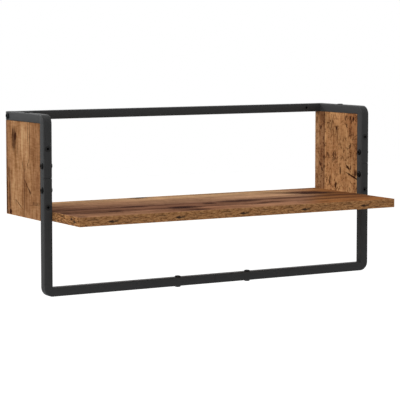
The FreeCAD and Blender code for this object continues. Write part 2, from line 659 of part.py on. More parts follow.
left = [
    upper_frame("upper_left_frame"),
    lower_frame("lower_left_frame"),
    leg_splice,
    copies("left_leg_splice_screws", splice_screw, leg_screw_places),
    rail_nut("left_rail_nut"),
    place(button_screw("left_rail_bolt", "Sizes.tube_size + Sizes.rail_bolt_grip"),
          "-Sizes.frame_width / 2", "-Sizes.tube_size / 2", "0", LEFT),
    arm_end_plug("left_arm_end_plug"),
    side_panel("left_side_panel"),
    plain_box("left_panel_bottom_edging", "Sizes.panel_thickness", PANEL_DEPTH, "Sizes.edging_thickness",
              panel_x, f"-{PANEL_DEPTH}", f"-{PANEL_DROP}"),
    plain_box("left_panel_back_edging", "Sizes.panel_thickness", "Sizes.edging_thickness",
              "Sizes.panel_height - Sizes.edging_thickness",
              panel_x, "-Sizes.edging_thickness", f"-({PANEL_DROP} - Sizes.edging_thickness)"),
    copies("left_panel_front_screws", panel_screw("panel_front_screw"), front_screw_places),
    place(panel_screw("left_panel_top_screw", "Sizes.arm_screw_crown"),
          f"-{LEG_X}", "-Sizes.arm_screw_setback", "Sizes.tube_size / 2"),
    shelf_end_edging("shelf_left_edging"),
    copies("left_cam_bolts", cam_bolt("cam_bolt"), cam_bolt_places),
    copies("left_cam_locks", cam_lock("cam_lock"), cam_lock_places),
    dowel("left_dowel"),
]

# The right side is the left side's mirror image
right = []
for piece in left:
    twin = doc.addObject("Part::Mirroring", piece.Label.replace("left", "right"))
    twin.Source = piece
    twin.Normal = RIGHT
    right.append(twin)

# Nothing is written until every object and every sub-part's shape is sound
doc.recompute()
for obj in doc.Objects:
    if "Invalid" in obj.State or "Error" in obj.State:
        raise RuntimeError(f"{obj.Label} did not compute: {obj.State}")
cutting = ("PartDesign::Pocket", "PartDesign::Hole", "PartDesign::SubtractivePipe")
for obj in doc.Objects:
    if obj.TypeId in cutting and obj.Shape.Volume >= obj.BaseFeature.Shape.Volume:
        raise RuntimeError(f"{obj.Label} cuts nothing")
sub_parts = middle + left + right
for piece in sub_parts:
    if piece.Shape.isNull() or not piece.Shape.isValid():
        raise RuntimeError(f"{piece.Label} has no valid shape")
os.makedirs("parts", exist_ok=True)
for piece in sub_parts:
    piece.Shape.exportStep(f"parts/{piece.Label}.step")
    print(f"{piece.Label}: {len(piece.Shape.Solids)} solid(s), {piece.Shape.Volume:.1f} mm3")
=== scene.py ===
# %% [markdown]
# A wall shelf with a hanging bar: old-plank boards in a folded frame of black square tube. The
# construction is already modelled at its real size, and this lesson loads it as a fixed frame. What is
# left is the part that the eye judges first: the finish of each surface, the light and the camera.

# %% Load the frame
import math

import bmesh
import bpy
from mathutils import Matrix, Vector


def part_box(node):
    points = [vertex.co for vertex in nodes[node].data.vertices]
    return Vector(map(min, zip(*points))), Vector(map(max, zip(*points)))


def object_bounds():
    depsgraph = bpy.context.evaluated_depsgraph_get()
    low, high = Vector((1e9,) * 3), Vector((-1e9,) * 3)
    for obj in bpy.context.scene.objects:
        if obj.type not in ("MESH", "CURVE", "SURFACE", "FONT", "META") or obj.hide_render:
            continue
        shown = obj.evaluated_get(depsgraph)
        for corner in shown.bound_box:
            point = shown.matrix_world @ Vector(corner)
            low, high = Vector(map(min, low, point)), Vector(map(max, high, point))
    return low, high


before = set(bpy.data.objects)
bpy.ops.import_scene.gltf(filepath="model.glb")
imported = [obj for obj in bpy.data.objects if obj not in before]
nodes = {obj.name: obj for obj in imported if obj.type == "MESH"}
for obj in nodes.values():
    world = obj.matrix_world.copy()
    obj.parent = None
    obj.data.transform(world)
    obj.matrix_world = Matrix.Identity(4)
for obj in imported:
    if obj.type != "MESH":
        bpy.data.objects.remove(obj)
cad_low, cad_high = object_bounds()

MM = 0.001
scene = bpy.context.scene
print("loaded", len(nodes), "pieces, from", tuple(cad_low), "to", tuple(cad_high))

# %% [markdown]
# Wood is easiest to match on a screen, so its colours are written as they look there, from 0 to 255, and
# turned into the linear values that light uses. Blacks and metals are written as linear values straight
# away.

# %% Colours


def linear_level(level):
    """One screen level, from 0 to 255, as a linear value: the usual screen curve."""
    share = level / 255
    if share < 0.04045:
        return share / 12.92
    return ((share + 0.055) / 1.055) ** 2.4


def paint(red, green, blue):
    """A screen colour as linear red, green, blue and alpha."""
    return (linear_level(red), linear_level(green), linear_level(blue), 1.0)


def grey(level):
    """An even grey, given as a linear value."""
    return (level, level, level, 1.0)


print("screen level 128 is", round(linear_level(128), 3), "in linear light")

# %% [markdown]
# Every finish here is a tree of shader nodes, and trees built by hand in code soon turn into long lists
# of links. A few helpers keep them short: one adds a node and fills its inputs, two do arithmetic, one
# mixes two colours and one makes a colour ramp. An input takes either a value or the output of another
# node.

# %% Helpers for single nodes
# A Mix node has a set of sockets for each kind of value. These are the numbers of the ones for colours.
MIX_FIRST = 6
MIX_SECOND = 7
MIX_RESULT = 2
NOISE_MIDDLE = 0.5


def plug(tree, socket, value):
    """Link a node's output to a socket, or set the socket to a plain value."""
    if isinstance(value, bpy.types.NodeSocket):
        tree.links.new(value, socket)
    else:
        socket.default_value = value


def fill(tree, node, inputs):
    """Fill a node's inputs, given by name or by number."""
    for name, value in inputs.items():
        plug(tree, node.inputs[name], value)


def add(tree, kind, inputs=None, **options):
    """A new shader node of a kind, with its options set and its inputs filled."""
    node = tree.nodes.new("ShaderNode" + kind)
    for name, value in options.items():
        setattr(node, name, value)
    fill(tree, node, inputs or {})
    return node


def maths(tree, operation, *values):
    """The result of arithmetic on numbers."""
    return add(tree, "Math", dict(enumerate(values)), operation=operation).outputs["Value"]


def vector_maths(tree, operation, *values):
    """The result of arithmetic on vectors."""
    return add(tree, "VectorMath", dict(enumerate(values)), operation=operation).outputs["Vector"]


def centred(tree, noise):
    """A noise value moved so that its middle is at 0."""
    return maths(tree, "SUBTRACT", noise, NOISE_MIDDLE)


def blend(tree, amount, first, second, blend_type="MIX"):
    """Two colours mixed: the first where the amount is 0."""
    inputs = {"Factor": amount, MIX_FIRST: first, MIX_SECOND: second}
    node = add(tree, "Mix", inputs, data_type="RGBA", blend_type=blend_type, clamp_result=False)
    return node.outputs[MIX_RESULT]


def ramp(tree, value, stops):
    """A colour ramp over a value. Its stops are given in order, each as a position and a colour."""
    node = add(tree, "ValToRGB", {"Fac": value})
    elements = node.color_ramp.elements
    for position, _ in stops[2:]:
        elements.new(position)
    for element, (position, colour) in zip(elements, stops):
        element.position = position
        element.color = colour
    return node.outputs["Color"]


def smooth_step(tree, value, start, end):
    """0 before start and 1 after end, or the other way round where start is the larger one."""
    inputs = {"Value": value, "From Min": start, "From Max": end}
    node = add(tree, "MapRange", inputs, interpolation_type="SMOOTHSTEP", clamp=True)
    return node.outputs["Result"]


print("helpers for nodes ready")

# %% [markdown]
# An effect that several finishes share is a node group: built once, and placed in each material with
# values of its own. A few more helpers make a group, place it, and start a material.

# %% Helpers for groups and materials


def numbers(*names):
    """Group sockets that hold a number each."""
    return dict.fromkeys(names, "Float")


def new_group(name, inputs, outputs):
    """A node group's tree, what it is given, and its output node. Sockets are given as name: kind."""
    tree = bpy.data.node_groups.new(name, "ShaderNodeTree")
    for socket, kind in inputs.items():
        tree.interface.new_socket(socket, in_out="INPUT", socket_type="NodeSocket" + kind)
    for socket, kind in outputs.items():
        tree.interface.new_socket(socket, in_out="OUTPUT", socket_type="NodeSocket" + kind)
    return tree, tree.nodes.new("NodeGroupInput").outputs, tree.nodes.new("NodeGroupOutput")


def use_group(tree, group, inputs):
    """Place a group in a tree, and give its outputs."""
    node = tree.nodes.new("ShaderNodeGroup")
    node.node_tree = group
    fill(tree, node, inputs)
    return node.outputs


def new_material(name):
    """A material, its tree and its Principled shader."""
    material = bpy.data.materials.new(name)
    material.use_nodes = True
    return material, material.node_tree, material.node_tree.nodes["Principled BSDF"]


print("helpers for groups and materials ready")

# %% [markdown]
# All patterns sit on Object coordinates, which for these pieces are metres in the model's own axes. Wood
# has a direction, so its patterns use a turned copy of them in which the grain always runs along X. Noise
# that is stretched along the grain or across it is the stuff of nearly everything that follows.

# %% Helpers for places and noise
NOISE_ROUGHNESS = 0.55


def object_place(tree):
    """Object coordinates."""
    return add(tree, "TexCoord").outputs["Object"]


def axes_of(tree, vector):
    """A vector's X, Y and Z, by name."""
    return add(tree, "SeparateXYZ", {"Vector": vector}).outputs


def from_axes(tree, **axes):
    """A vector from its X, Y and Z. An axis that isn't given is 0."""
    return add(tree, "CombineXYZ", axes).outputs["Vector"]


def grain_space(tree, along, across, through):
    """Object coordinates with the grain laid along X. The arguments name axes of the model."""
    place = axes_of(tree, object_place(tree))
    return from_axes(tree, X=place[along], Y=place[across], Z=place[through])


def stretched_noise(tree, place, along, across, detail, roughness=NOISE_ROUGHNESS):
    """Noise whose features are about 1 / along metres long and 1 / across metres wide."""
    scaled = vector_maths(tree, "MULTIPLY", place, (along, across, across))
    inputs = {"Vector": scaled, "Scale": 1.0, "Detail": detail, "Roughness": roughness}
    return add(tree, "TexNoise", inputs).outputs["Fac"]


print("helpers for places and noise ready")

# %% [markdown]
# The boards are old planks with a long story: growth bands a few centimetres wide, streaks a few
# millimetres wide, fibres finer than that, faint saw marks across them, small dark pits where the soft
# wood has gone, and curly lines where it was eaten. A picture of wood would do it, but procedural noise
# stays sharp at any distance and covers all six faces. Each layer is the same noise stretched to its own
# length and width, and a slow sway bends the layers together, as growth does. The curly lines are the
# places where a noise passes its middle value, like the height lines of a map.

# %% Wood grain group
# Each noise: features per metre along the grain and across it, and steps of detail.
SWAY_NOISE = (5.0, 16.0, 2.0)
BAND_NOISE = (4.0, 42.0, 3.0)
MOTTLE_NOISE = (45.0, 95.0, 3.0)
STREAK_NOISE = (13.0, 320.0, 4.0)
FIBRE_NOISE = (30.0, 900.0, 2.0)
SAW_NOISE = (330.0, 70.0, 2.0)
CURL_NOISE = (115.0, 150.0, 1.5)
CURL_PATCH_NOISE = (95.0, 120.0, 2.0)
# Cells per metre along the grain, across it and through it.
PIT_CELLS = (150.0, 180.0, 180.0)
GRAIN_SWAY = 9 * MM
MIDDLE_TONE = 0.5
STREAK_WEIGHT = 0.8
FIBRE_WEIGHT = 0.5
SAW_WEIGHT = 0.42
PIT_RIM = 0.45
PIT_FLOOR = 0.2
CURL_RIM = 0.06
CURL_CORE = 0.018
CURL_PATCH_FROM = 0.42
CURL_PATCH_FULL = 0.58


def grain_tone(tree, place, streaks, bands, mottle):
    """The layers of the grain, added up around the middle tone."""
    layers = [
        (stretched_noise(tree, place, *BAND_NOISE), bands),
        (stretched_noise(tree, place, *MOTTLE_NOISE), mottle),
        (streaks, STREAK_WEIGHT),
        (stretched_noise(tree, place, *FIBRE_NOISE), FIBRE_WEIGHT),
        (stretched_noise(tree, place, *SAW_NOISE), SAW_WEIGHT),
    ]
    tone = MIDDLE_TONE
    for layer, weight in layers:
        tone = maths(tree, "MULTIPLY_ADD", centred(tree, layer), weight, tone)
    return tone


def grain_pits(tree, place, share):
    """Round hollows in a share of the cells of a Voronoi pattern."""
    cells = vector_maths(tree, "MULTIPLY", place, PIT_CELLS)
    pit = add(tree, "TexVoronoi", {"Vector": cells, "Scale": 1.0, "Randomness": 1.0}).outputs
    chance = add(tree, "SeparateColor", {"Color": pit["Color"]}).outputs["Red"]
    chosen = smooth_step(tree, chance, share, 0.0)
    return maths(tree, "MULTIPLY", smooth_step(tree, pit["Distance"], PIT_RIM, PIT_FLOOR), chosen)


def grain_curls(tree, place, strength):
    """Thin lines where a noise passes its middle, in patches only."""
    from_middle = maths(tree, "ABSOLUTE", centred(tree, stretched_noise(tree, place, *CURL_NOISE)))
    line = smooth_step(tree, from_middle, CURL_RIM, CURL_CORE)
    cover = stretched_noise(tree, place, *CURL_PATCH_NOISE)
    patch = smooth_step(tree, cover, CURL_PATCH_FROM, CURL_PATCH_FULL)
    return maths(tree, "MULTIPLY", maths(tree, "MULTIPLY", line, patch), strength)


def wood_grain_group():
    tree, given, result = new_group(
        "wood_grain",
        {"Place": "Vector", **numbers("Seed", "Bands", "Mottle", "Pit Share", "Curls")},
        numbers("Tone", "Streaks", "Pits"))
    start = from_axes(tree, X=given["Seed"], Z=given["Seed"])
    place = vector_maths(tree, "ADD", given["Place"], start)
    sway = maths(tree, "MULTIPLY", centred(tree, stretched_noise(tree, place, *SWAY_NOISE)), GRAIN_SWAY)
    place = vector_maths(tree, "ADD", place, from_axes(tree, Y=sway))
    streaks = stretched_noise(tree, place, *STREAK_NOISE)
    pits = grain_pits(tree, place, given["Pit Share"])
    curls = grain_curls(tree, place, given["Curls"])
    fill(tree, result, {
        "Tone": grain_tone(tree, place, streaks, given["Bands"], given["Mottle"]),
        "Streaks": streaks,
        "Pits": maths(tree, "MAXIMUM", pits, curls),
    })
    return tree


wood_grain = wood_grain_group()
print("wood grain group:", len(wood_grain.nodes), "nodes")

# %% [markdown]
# Knots, cracks and nail dents sit at places of their own, so noise can't make them. One small group draws
# a soft-edged, slightly ragged ellipse at a given place and turn. A long thin one is a crack, a round one
# a knot, and many small ones are pits. A board then keeps a list of its marks: where along and across the
# grain, how long and wide, how far turned and how strong.

# %% Wood mark group
# Distances from a mark's centre, in shares of its size: where it ends, and where it reaches full strength.
MARK_RIM = 0.62
MARK_CORE = 0.3
# How ragged the outline is: features per metre along and across the grain, steps of detail, and amount.
MARK_FEATHER = 120.0
RAGGED_ACROSS = 500.0
RAGGED_DETAIL = 2.0
MARK_RAGGEDNESS = 0.6


def wood_mark_group():
    tree, given, result = new_group(
        "wood_mark",
        {"Place": "Vector", **numbers("Ragged", "Along", "Across", "Length", "Width", "Turn", "Strength")},
        numbers("Mask"))
    centre = from_axes(tree, X=given["Along"], Y=given["Across"])
    offset = vector_maths(tree, "SUBTRACT", given["Place"], centre)
    flat = vector_maths(tree, "MULTIPLY", offset, (1.0, 1.0, 0.0))
    back = maths(tree, "MULTIPLY", given["Turn"], -1.0)
    turned = add(tree, "VectorRotate", {"Vector": flat, "Angle": back}, rotation_type="Z_AXIS")
    size = from_axes(tree, X=given["Length"], Y=given["Width"], Z=1.0)
    shrunk = vector_maths(tree, "DIVIDE", turned.outputs["Vector"], size)
    distance = add(tree, "VectorMath", {0: shrunk}, operation="LENGTH").outputs["Value"]
    uneven = maths(tree, "ADD", distance, given["Ragged"])
    mask = smooth_step(tree, uneven, MARK_RIM, MARK_CORE)
    fill(tree, result, {"Mask": maths(tree, "MULTIPLY", mask, given["Strength"])})
    return tree


wood_mark = wood_mark_group()


def marks_mask(tree, place, marks, feather=MARK_FEATHER, raggedness=MARK_RAGGEDNESS):
    """The strongest of a board's marks at each point. Marks are in millimetres and degrees."""
    noise = stretched_noise(tree, place, feather, RAGGED_ACROSS, RAGGED_DETAIL)
    ragged = maths(tree, "MULTIPLY", centred(tree, noise), raggedness)
    strongest = 0.0
    for along, across, length, width, turn, strength in marks:
        mark = use_group(tree, wood_mark, {
            "Place": place,
            "Ragged": ragged,
            "Along": along * MM,
            "Across": across * MM,
            "Length": length * MM,
            "Width": width * MM,
            "Turn": math.radians(turn),
            "Strength": strength,
        })
        strongest = maths(tree, "MAXIMUM", strongest, mark["Mask"])
    return strongest


print("wood mark group:", len(wood_mark.nodes), "nodes")

# %% [markdown]
# A finished board puts the layers together. The tone picks a colour from a ramp, a tint darkens and
# colours some stretches, and the pits and the dark marks come last. The tint is the wood's own staining,
# and on the shelf board it is painted shade as well. The same values press the marks a little into the
# surface with a Bump node and make the dark hollows duller than the smooth wood between them. All three
# boards share this, so it is a group too, and each material keeps only its own tones and marks.

# %% Plank surface group
PIT_COLOUR = paint(70, 37, 21)
PIT_STRENGTH = 0.75
MARK_COLOUR = paint(46, 22, 14)
RED_STAIN = paint(196, 178, 172)
WOOD_ROUGHNESS = 0.52
WOOD_GLOSS = 0.0
HOLLOW_DULLNESS = 0.25
GRAIN_RELIEF = 0.25 * MM
GRAIN_BUMP = 0.5


def plank_surface_group():
    tree, given, result = new_group(
        "plank_surface",
        {"Colour": "Color", "Stain": "Float", "Tint Colour": "Color",
         "Marks": "Float", "Mark Colour": "Color", "Pits": "Float", "Streaks": "Float"},
        {"Colour": "Color", "Height": "Float", "Roughness": "Float"})
    # The tint: the wood's staining, and on the shelf board painted shade as well.
    tinted = blend(tree, given["Stain"], given["Colour"], given["Tint Colour"], "MULTIPLY")
    pits = maths(tree, "MULTIPLY", given["Pits"], PIT_STRENGTH)
    pitted = blend(tree, pits, tinted, PIT_COLOUR)
    hollows = maths(tree, "MAXIMUM", given["Marks"], pits)
    fill(tree, result, {
        "Colour": blend(tree, given["Marks"], pitted, given["Mark Colour"]),
        "Height": maths(tree, "SUBTRACT", given["Streaks"], hollows),
        "Roughness": maths(tree, "MULTIPLY_ADD", hollows, HOLLOW_DULLNESS, WOOD_ROUGHNESS),
    })
    return tree


plank_surface = plank_surface_group()


def wear_surface(tree, shader, surface):
    """Give a wooden material's shader the colour, roughness and relief of a surface group."""
    bump = add(tree, "Bump", {"Height": surface["Height"], "Strength": GRAIN_BUMP, "Distance": GRAIN_RELIEF})
    fill(tree, shader, {
        "Base Color": surface["Colour"],
        "Roughness": surface["Roughness"],
        "Normal": bump.outputs["Normal"],
        "Specular IOR Level": WOOD_GLOSS,
    })


def finish_board(tree, shader, grain, colour, tint, marks, tint_colour=RED_STAIN, mark_colour=MARK_COLOUR):
    """Put a board's colour, tint of stains and painted shade, marks mask and grain in its shader."""
    surface = use_group(tree, plank_surface, {
        "Colour": colour,
        "Stain": tint,
        "Tint Colour": tint_colour,
        "Marks": marks,
        "Mark Colour": mark_colour,
        "Pits": grain["Pits"],
        "Streaks": grain["Streaks"],
    })
    wear_surface(tree, shader, surface)


print("plank surface group:", len(plank_surface.nodes), "nodes")

# %% [markdown]
# The left side is one wide plank with upright grain. Near its top rear corner it has a long dark knot,
# its rear edge is a redder strip, and lower down two slanting cracks and a row of faint nail dents cross
# the grain. The lists say where: for an upright board, along the grain is the height and across it the
# depth.

# %% Marks of the left side panel
# Each mark: place along and across the grain, length and width in millimetres, turn in degrees, strength.
DENT_COUNT = 5
DENT_STEP = 5.5
LEFT_KNOT = [
    (-38, -32, 40, 19, 2, 0.7),
    (-34, -37, 17, 10, -4, 1.0),
    (-28, -28, 18, 5, 8, 0.85),
    (-44, -29, 24, 9, 4, 0.75),
]
LEFT_REAR_STRIP = [
    (-85, -4, 400, 7, 0, 0.35),
    (-57, -2.6, 16, 7, 0, 0.6),
    (-81, -2, 20, 7, 0, 0.7),
    (-95, -8, 18, 13, 0, 0.45),
    (-122, -2.5, 38, 7, 0, 0.75),
    (-148, -3, 38, 7, 0, 0.8),
    (-134, -14.5, 72, 4.4, 0, 0.95),
    (-163, -17, 13, 10, 0, 0.95),
    (-165, -5, 12, 9, 0, 0.75),
]
LEFT_STREAKS = [
    (-34, -95, 66, 2.6, 0, 0.65),
    (-23, -87, 48, 2.4, 0, 0.55),
    (-50, -46, 40, 2.4, 0, 0.6),
    (-126, -73, 100, 2.6, 0, 0.7),
]
LEFT_CRACKS = [
    (-116, -87, 44, 2.6, 47, 0.85),
    (-123, -96, 13, 3.6, 47, 0.75),
    (-147, -52, 30, 2.4, 63, 0.7),
]
LEFT_SPECKS = [
    (-80, -67, 16, 2.6, 10, 0.7),
    (-78, -87, 8, 2.8, 0, 0.8),
    (-78, -96, 8, 2.8, 0, 0.8),
    (-87, -76, 8, 2.8, 0, 0.7),
    (-143, -39, 10, 3, 0, 0.85),
    (-72, -91, 9, 2.8, 0, 0.7),
    (-82, -96, 9, 2.8, 0, 0.7),
    (-82, -88, 9, 2.8, 0, 0.7),
]
LEFT_DENTS = [(-144, -110, 2.4, 40, 5, 0.3)]
LEFT_DENTS += [(-141, -108 - DENT_STEP * dent, 6, 2.6, 0, 0.85) for dent in range(DENT_COUNT)]
LEFT_MARKS = LEFT_KNOT + LEFT_REAR_STRIP + LEFT_STREAKS + LEFT_CRACKS + LEFT_SPECKS + LEFT_DENTS
LEFT_STAINS = [
    (-85, -6, 600, 34, 0, 0.45),
    (-125, -73, 120, 24, 0, 0.55),
    (-90, -120, 400, 46, 0, 0.5),
    (-104, -126, 40, 30, 0, 0.7),
    (-142, -92, 44, 28, 0, 0.6),
]
LEFT_PALE = [
    (-40, -74, 75, 44, 0, 1.0),
    (-120, -42, 110, 44, 0, 0.7),
    (-72, -92, 50, 26, 0, 0.8),
    (-98, -58, 66, 34, 0, 0.9),
    (-14, -86, 40, 40, 0, 0.8),
]
print("left panel:", len(LEFT_MARKS), "marks")

# %% [markdown]
# The pale patches lift the tone before it is turned into a colour, so the grain still shows in them.

# %% Left side panel
PLANK_TONES = [
    (0.18, paint(103, 66, 41)),
    (0.38, paint(134, 95, 61)),
    (0.5, paint(149, 108, 74)),
    (0.62, paint(162, 122, 85)),
    (0.82, paint(177, 140, 101)),
]
PALE_LIFT = 0.12


def left_panel_finish():
    material, tree, shader = new_material("old_wood_left")
    place = grain_space(tree, "Z", "Y", "X")
    grain = use_group(tree, wood_grain, {
        "Place": place, "Seed": 3.1, "Bands": 0.5, "Mottle": 0.6, "Pit Share": 0.03, "Curls": 0.15})
    tone = maths(tree, "MULTIPLY_ADD", marks_mask(tree, place, LEFT_PALE), PALE_LIFT, grain["Tone"])
    colour = ramp(tree, tone, PLANK_TONES)
    tint = marks_mask(tree, place, LEFT_STAINS)
    finish_board(tree, shader, grain, colour, tint, marks_mask(tree, place, LEFT_MARKS))
    return material


left_panel_wood = left_panel_finish()
print("left panel:", len(left_panel_wood.node_tree.nodes), "nodes")

# %% [markdown]
# The right side is joined from two planks: a narrow red-brown one at the rear, and a wide paler one with
# many small pits and one strong slanting crack low down by the leg. The joint is a thin dark line along
# the grain. The wide plank is darker at its top front corner and in one patch near the joint.

# %% Marks of the right side panel
PLANK_JOINT = -32
JOINT_HALF = 2
RIGHT_JOINT = [(-80, PLANK_JOINT + JOINT_HALF, 600, 4, 0, 0.4)]
RIGHT_CRACK = [
    (-122, -120, 42, 3.6, 73, 0.95),
    (-124, -127, 18, 4, 73, 1.0),
]
RIGHT_STREAKS = [
    (-28, -55, 42, 3.2, -19, 0.5),
    (-48, -74, 26, 3.2, 0, 0.45),
]
WIDE_PLANK_PITS = [
    (-36, -70, 8, 6, -25, 0.95),
    (-87, -43, 12, 5, 30, 0.65),
    (-87, -61, 11, 4.5, -8, 0.7),
    (-85, -67, 10, 4.5, 10, 0.55),
    (-93, -64, 8, 6, 0, 0.65),
    (-107, -107, 13, 5.5, 53, 1.0),
    (-106, -116, 10, 4.5, -20, 0.75),
    (-116, -130, 15, 8, 0, 0.8),
    (-114, -83, 16, 5.5, 0, 0.75),
    (-134, -49, 19, 5.5, -5, 0.75),
    (-142, -68, 12, 5.5, -10, 0.95),
    (-152, -70, 11, 4, 0, 0.55),
    (-68, -114, 10, 5, -20, 0.8),
    (-16, -114, 9, 4.5, 20, 0.85),
    (-17, -123, 11, 5.5, -10, 1.0),
    (-14, -101, 5, 9, 10, 0.65),
    (-23, -117, 9, 4.5, -20, 0.75),
    (-30, -103, 8, 5.5, 0, 0.75),
    (-18, -98, 9, 4.5, 30, 0.65),
    (-43, -114, 10, 8, 0, 0.35),
]
REAR_PLANK_PITS = [
    (-37, -19, 8, 6.5, 0, 0.75),
    (-93, -30, 11, 5.5, 0, 0.85),
    (-105, -16, 10, 5.5, 20, 0.75),
    (-110, -30, 9, 5.5, -15, 0.85),
    (-115, -23, 10, 5.5, 30, 0.75),
    (-57, -28, 9, 5, 0, 0.65),
    (-70, -30, 10, 5, 0, 0.65),
]
RIGHT_MARKS = RIGHT_JOINT + RIGHT_CRACK + RIGHT_STREAKS + WIDE_PLANK_PITS + REAR_PLANK_PITS
REAR_PLANK_HEART = [(-80, -27, 1500, 30, 0, 1.0)]
RIGHT_STAINS = [
    (-22, -120, 64, 46, 0, 0.75),
    (-84, -52, 84, 44, 0, 0.4),
    (-45, -130, 60, 26, 0, 0.6),
]
RIGHT_PALE = [
    (-138, -80, 90, 170, 0, 0.9),
    (-80, -88, 400, 34, 0, 0.5),
]
print("right panel:", len(RIGHT_MARKS), "marks")

# %% [markdown]
# The two planks have tones of their own. The whole panel's tone is lifted, and the wide plank's ramp is a
# little brighter than the left side's: partly paler wood, and partly painted light that makes up for the
# shade falling between the two sides. A soft step at the joint says which one a point belongs to, and the
# rear plank is stained all over, most of all along its heart.

# %% Right side panel
# Partly paler wood, partly painted light for the shade between the two sides.
RIGHT_TONES = [
    (0.18, paint(108, 68, 40)),
    (0.38, paint(140, 96, 60)),
    (0.5, paint(156, 110, 72)),
    (0.62, paint(171, 124, 82)),
    (0.82, paint(188, 143, 98)),
]
# Lifts the whole panel's tone: partly paler wood, partly painted light.
RIGHT_LIFT = 1.0
RIGHT_PATCH_LIFT = 0.5
REAR_STAIN = 0.42
HEART_STAIN = 0.42


def right_panel_finish():
    material, tree, shader = new_material("old_wood_right")
    place = grain_space(tree, "Z", "Y", "X")
    grain = use_group(tree, wood_grain, {
        "Place": place, "Seed": 7.4, "Bands": 0.4, "Mottle": 0.8, "Pit Share": 0.35, "Curls": 1.0})
    across = axes_of(tree, place)["Y"]
    rear_plank = smooth_step(tree, across, (PLANK_JOINT - JOINT_HALF) * MM, (PLANK_JOINT + JOINT_HALF) * MM)
    pale = maths(tree, "MULTIPLY_ADD", marks_mask(tree, place, RIGHT_PALE), RIGHT_PATCH_LIFT, RIGHT_LIFT)
    tone = maths(tree, "MULTIPLY_ADD", pale, PALE_LIFT, grain["Tone"])
    colour = blend(tree, rear_plank, ramp(tree, tone, RIGHT_TONES), ramp(tree, tone, PLANK_TONES))
    heart = maths(tree, "MULTIPLY_ADD", marks_mask(tree, place, REAR_PLANK_HEART), HEART_STAIN, REAR_STAIN)
    rear_stain = maths(tree, "MULTIPLY", rear_plank, heart)
    tint = maths(tree, "MAXIMUM", rear_stain, marks_mask(tree, place, RIGHT_STAINS))
    finish_board(tree, shader, grain, colour, tint, marks_mask(tree, place, RIGHT_MARKS))
    return material


right_panel_wood = right_panel_finish()
print("right panel:", len(right_panel_wood.node_tree.nodes), "nodes")

# %% [markdown]
# The shelf board has its grain along the shelf. Across it run a pale band at the wall, a purple-brown
# heart with two long cracked joints, and a paler band at the front. Dark knots and short streaks are
# strewn over it, many of them along the joints.

# %% Marks of the shelf board
SHELF_JOINTS = [
    (0, -140, 1600, 17, 0, 0.5),
    (-60, -194, 760, 11, 0, 0.42),
]
SHELF_KNOTS = [
    (-211, -190, 30, 24, 0, 0.75),
    (-90, -190, 72, 36, 0, 1.0),
    (-100, -200, 84, 54, 0, 0.6),
    (-299, -176, 18, 28, 0, 0.6),
    (-70, -2, 46, 34, 0, 1.0),
    (-300, -238, 18, 20, 0, 0.75),
    (-15, -157, 22, 18, 0, 0.85),
    (246, -80, 96, 54, -20, 0.9),
    (242, -92, 90, 24, -20, 1.0),
    (206, -60, 90, 38, -30, 0.45),
]
SHELF_STREAKS = [
    (-243, -196, 110, 14, 5, 0.5),
    (76, -193, 76, 17, 15, 0.7),
    (-80, -233, 60, 20, 0, 0.9),
    (-150, -139, 70, 24, 0, 0.85),
    (56, -143, 90, 34, 0, 0.88),
    (262, -136, 110, 26, -15, 0.6),
    (158, -202, 56, 14, 0, 0.5),
    (214, -190, 130, 16, 0, 0.55),
    (160, -228, 70, 14, 0, 0.5),
    (226, -236, 40, 16, 0, 0.5),
]
SHELF_MARKS = SHELF_JOINTS + SHELF_KNOTS + SHELF_STREAKS
# Patches that darken and tint the board: some are in the wood, and some are painted shade where the sides
# shadow the board.
SHELF_STAINS_AND_SHADE = [
    # Painted shadow of the left side on the rear of the board.
    (-240, -62, 420, 76, 0, 0.5),
    (-190, -90, 560, 96, 0, 0.42),
    (-130, -165, 420, 70, 0, 0.4),
    (-75, -224, 170, 50, 0, 0.5),
    (230, -228, 240, 60, 0, 0.35),
    # These two are painted shade along the foot of the right side.
    (285, -48, 150, 170, 0, 0.75),
    (295, -150, 130, 300, 0, 0.4),
]
print("shelf board:", len(SHELF_MARKS), "marks")

# %% [markdown]
# A colour ramp over the distance from the wall paints the bands, which waver a little, and the grain's
# tone then lightens and darkens them. Towards the right end the wood turns orange, along a slanting line.
# The marks are stronger on the upper face than on the underside.

# %% Shelf board
shelf_low, shelf_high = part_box("shelf_board")
SHELF_MIDDLE = (shelf_low.z + shelf_high.z) / 2
SHELF_DEPTH = shelf_high.y - shelf_low.y
SHELF_BANDS = [
    (0.0, paint(182, 145, 107)),
    (0.36, paint(167, 129, 99)),
    (0.5, paint(136, 100, 78)),
    (0.58, paint(128, 92, 72)),
    (0.66, paint(138, 100, 77)),
    (0.76, paint(132, 94, 73)),
    (0.86, paint(163, 119, 90)),
    (1.0, paint(157, 113, 83)),
]
WAVER_NOISE = (5.0, 14.0, 2.0)
BAND_WAVER = 0.22
FLECK_NOISE = (22.0, 75.0, 3.0)
FLECK_CONTRAST = 0.6
TONE_CONTRAST = 1.1
TONE_FLOOR = 0.45
# The purple tint of the wood's patches, also used for the painted shade by the sides.
PURPLE_STAIN_AND_SHADE = paint(198, 178, 180)
CRACK_COLOUR = paint(54, 36, 32)
ORANGE_END = paint(255, 238, 196)
ORANGE_SLANT = 0.63
ORANGE_WAVER = 60 * MM
ORANGE_FROM = 270 * MM
ORANGE_FULL = 330 * MM
SHELF_FEATHER = 30.0
SHELF_RAGGEDNESS = 1.5
STAIN_AND_SHADE_FEATHER = 8.0
STAIN_AND_SHADE_RAGGEDNESS = 0.9
UNDERSIDE_MARKS = 0.2


